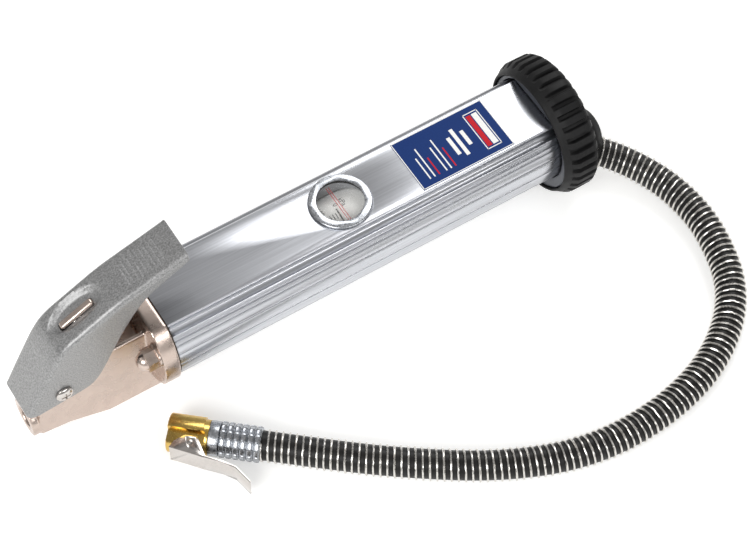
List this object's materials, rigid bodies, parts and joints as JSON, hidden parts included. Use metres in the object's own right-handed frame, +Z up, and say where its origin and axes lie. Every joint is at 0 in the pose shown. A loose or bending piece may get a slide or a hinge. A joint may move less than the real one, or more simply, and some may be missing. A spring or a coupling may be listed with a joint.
{
  "type": "tyre inflator with gauge",
  "caption": "Hand-held tyre inflator: lever-operated valve head, round aluminium body with a piston gauge behind a window, spring-guarded hose and brass clip-on connector.",
  "frame": {"origin": "on the surface the tool lies on, under the middle of the tool's bounding box without its hose", "axes": "+X along the body from the inlet to the hose end, +Y across, +Z up out of the flat face with the gauge window"},
  "size_m": [0.352, 0.1983, 0.1007],
  "materials": {
    "anodised_aluminium": "satin",
    "nickel_casting": "satin nickel plate on die casting",
    "plated_steel": "bright zinc or nickel plate",
    "hammered_paint": "hammered silver enamel",
    "brass": "machined",
    "black_rubber": "moulded",
    "seal_rubber": "moulded",
    "spring_steel": "drawn wire",
    "grey_cap": "satin dark grey",
    "printed_drum": "white, printed",
    "printed_label": "printed foil",
    "clear_lens": "clear acrylic",
    "fibre": "gasket sheet"
  },
  "bodies": {
    "tool": {"acorn_nuts": "nickel_casting", "body_extrusion": "anodised_aluminium", "clip_pin": "plated_steel", "clip_spring": "spring_steel", "connector_body": "brass", "connector_seal": "seal_rubber", "connector_tail": "plated_steel", "cursor_disc": "clear_lens", "ferrule": "plated_steel", "gauge_spring": "spring_steel", "gauge_tube": "brass", "head_gasket": "fibre", "hose": "black_rubber", "hose_boot": "black_rubber", "hose_guard": "spring_steel", "hose_tail": "brass", "inlet_filter": "brass", "label_plate": "printed_label", "nut_washers": "nickel_casting", "pivot_nut": "plated_steel", "pivot_screw": "plated_steel", "rear_end_cap": "grey_cap", "rear_gasket": "fibre", "rubber_ring": "black_rubber", "spool_plug": "brass", "spool_spring": "spring_steel", "spring_seat": "grey_cap", "tie_rods": "plated_steel", "valve_head": "nickel_casting", "valve_pusher": "brass", "window_bezel": "plated_steel", "window_lens": "clear_lens", "window_seal": "seal_rubber"},
    "trigger": {"trigger_lever": "hammered_paint", "lever_pad": "nickel_casting"},
    "valve": {"valve_spool": "plated_steel", "spool_rings": "seal_rubber"},
    "gauge": {"gauge_piston": "brass", "piston_ring": "seal_rubber", "gauge_shaft": "plated_steel", "scale_drum": "printed_drum"},
    "clip": {"clip_lever": "plated_steel"}
  },
  "joints": [
    {"name": "trigger_pivot", "type": "hinge", "parent": "tool", "child": "trigger", "pos_m": [-0.14345, 0, 0.0406], "axis": [0, 1, 0], "range_deg": [0, 10], "stiffness_Nm_per_rad": 6, "springref_deg": -20.05},
    {"name": "spool_slide", "type": "slide", "parent": "tool", "child": "valve", "axis": [0, 0, -1], "range_m": [0, 0.0051], "deforming": ["spool_spring"]},
    {"name": "gauge_slide", "type": "slide", "parent": "tool", "child": "gauge", "axis": [1, 0, 0], "range_m": [0, 0.058], "stiffness_N_per_m": 400, "springref_m": -0.01, "deforming": ["gauge_spring"]},
    {"name": "clip_pivot", "type": "hinge", "parent": "tool", "child": "clip", "pos_m": [-0.10174, -0.05265, 0.0097], "axis": [0, 0, 1], "range_deg": [0, 15], "stiffness_Nm_per_rad": 0.3, "springref_deg": -17.19}
  ],
  "couplings": [
    {"joint": "spool_slide", "follows": "trigger_pivot", "m_per_rad": 0.02894}
  ]
}
